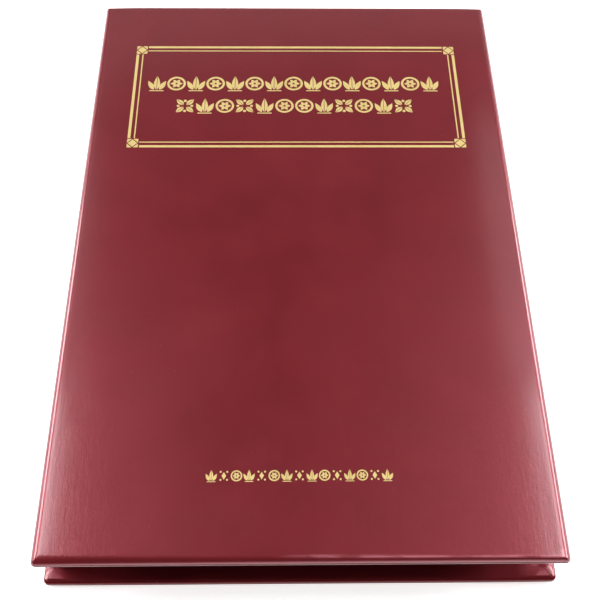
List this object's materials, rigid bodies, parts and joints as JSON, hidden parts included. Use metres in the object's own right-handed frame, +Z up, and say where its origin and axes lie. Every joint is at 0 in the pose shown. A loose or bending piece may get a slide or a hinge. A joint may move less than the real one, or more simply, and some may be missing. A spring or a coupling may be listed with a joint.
{
  "type": "coin album",
  "caption": "Closed ring-bound coin album with padded leatherette covers, a gold foil border and turning coin pages.",
  "frame": {"origin": "centre of the closed album's bottom face, on the surface it lies on", "axes": "+X from the spine to the fore edge, +Y from foot to head, +Z up out of the front cover"},
  "size_m": [0.184, 0.274, 0.027],
  "materials": {
    "leatherette": "satin",
    "hinge_cloth": "matt",
    "board": "matt",
    "foam": "matt",
    "lining": "matt",
    "foil": "polished",
    "nickelled_steel": "polished",
    "blade_steel": "satin",
    "page_board": "matt",
    "clear_window": "gloss",
    "binding_strip": "satin",
    "coin_metal": "satin"
  },
  "bodies": {
    "back_cover": {"back_cover_board": "board", "back_cover_foam": "foam", "back_cover_leatherette": "leatherette", "back_cover_lining": "lining", "back_hinge_cloth": "hinge_cloth", "housing_rivets": "nickelled_steel", "lever_pins": "nickelled_steel", "page_1_back_window": "clear_window", "page_1_binding_strip": "binding_strip", "page_1_coins": "coin_metal", "page_1_core": "page_board", "page_1_front_window": "clear_window", "page_2_back_window": "clear_window", "page_2_binding_strip": "binding_strip", "page_2_coins": "coin_metal", "page_2_core": "page_board", "page_2_front_window": "clear_window", "ring_housing": "nickelled_steel"},
    "front_cover": {"foil_border": "foil", "front_cover_board": "board", "front_cover_foam": "foam", "front_cover_leatherette": "leatherette", "front_cover_lining": "lining", "front_hinge_cloth": "hinge_cloth"},
    "foot_lever": {"foot_lever": "nickelled_steel"},
    "head_lever": {"head_lever": "nickelled_steel"},
    "left_rings": {"left_half_ring_1": "nickelled_steel", "left_half_ring_2": "nickelled_steel", "left_half_ring_3": "nickelled_steel", "left_ring_blade": "blade_steel"},
    "page_3": {"page_3_back_window": "clear_window", "page_3_binding_strip": "binding_strip", "page_3_coins": "coin_metal", "page_3_core": "page_board", "page_3_front_window": "clear_window"},
    "page_4": {"page_4_back_window": "clear_window", "page_4_binding_strip": "binding_strip", "page_4_coins": "coin_metal", "page_4_core": "page_board", "page_4_front_window": "clear_window"},
    "page_5": {"page_5_back_window": "clear_window", "page_5_binding_strip": "binding_strip", "page_5_coins": "coin_metal", "page_5_core": "page_board", "page_5_front_window": "clear_window"},
    "right_rings": {"right_half_ring_1": "nickelled_steel", "right_half_ring_2": "nickelled_steel", "right_half_ring_3": "nickelled_steel", "right_ring_blade": "blade_steel"},
    "spine": {"spine_board": "board", "spine_hinge_cloth": "hinge_cloth", "spine_leatherette": "leatherette", "spine_lining": "lining"}
  },
  "joints": [
    {"name": "spine_hinge", "type": "hinge", "parent": "back_cover", "child": "spine", "pos_m": [-0.08755, 0, 0.00455], "axis": [0, -1, 0], "range_deg": [0, 90]},
    {"name": "cover_hinge", "type": "hinge", "parent": "spine", "child": "front_cover", "pos_m": [-0.08755, 0, 0.02245], "axis": [0, -1, 0], "range_deg": [0, 90]},
    {"name": "page_3_turn", "type": "hinge", "parent": "back_cover", "child": "page_3", "pos_m": [-0.0736, 0, 0.0135], "axis": [0, -1, 0], "range_deg": [0, 180]},
    {"name": "page_4_turn", "type": "hinge", "parent": "back_cover", "child": "page_4", "pos_m": [-0.0736, 0, 0.0135], "axis": [0, -1, 0], "range_deg": [0, 180]},
    {"name": "page_5_turn", "type": "hinge", "parent": "back_cover", "child": "page_5", "pos_m": [-0.0736, 0, 0.0135], "axis": [0, -1, 0], "range_deg": [0, 180]},
    {"name": "left_rings_open", "type": "hinge", "parent": "back_cover", "child": "left_rings", "pos_m": [-0.0756, 0, 0.00555], "axis": [0, -1, 0], "range_deg": [0, 12]},
    {"name": "right_rings_open", "type": "hinge", "parent": "back_cover", "child": "right_rings", "pos_m": [-0.0716, 0, 0.00555], "axis": [0, 1, 0], "range_deg": [0, 12]},
    {"name": "foot_lever_press", "type": "hinge", "parent": "back_cover", "child": "foot_lever", "pos_m": [-0.0736, -0.122, 0.0056], "axis": [1, 0, 0], "range_deg": [0, 15]},
    {"name": "head_lever_press", "type": "hinge", "parent": "back_cover", "child": "head_lever", "pos_m": [-0.0736, 0.122, 0.0056], "axis": [-1, 0, 0], "range_deg": [0, 15]}
  ],
  "couplings": [
    {"joint": "spine_hinge", "follows": "cover_hinge", "ratio": 1},
    {"joint": "page_3_turn", "follows": "cover_hinge", "ratio": 2},
    {"joint": "page_4_turn", "follows": "cover_hinge", "ratio": 2},
    {"joint": "page_5_turn", "follows": "cover_hinge", "ratio": 2},
    {"joint": "right_rings_open", "follows": "left_rings_open", "ratio": 1},
    {"joint": "foot_lever_press", "follows": "left_rings_open", "ratio": 1.25},
    {"joint": "head_lever_press", "follows": "left_rings_open", "ratio": 1.25}
  ]
}
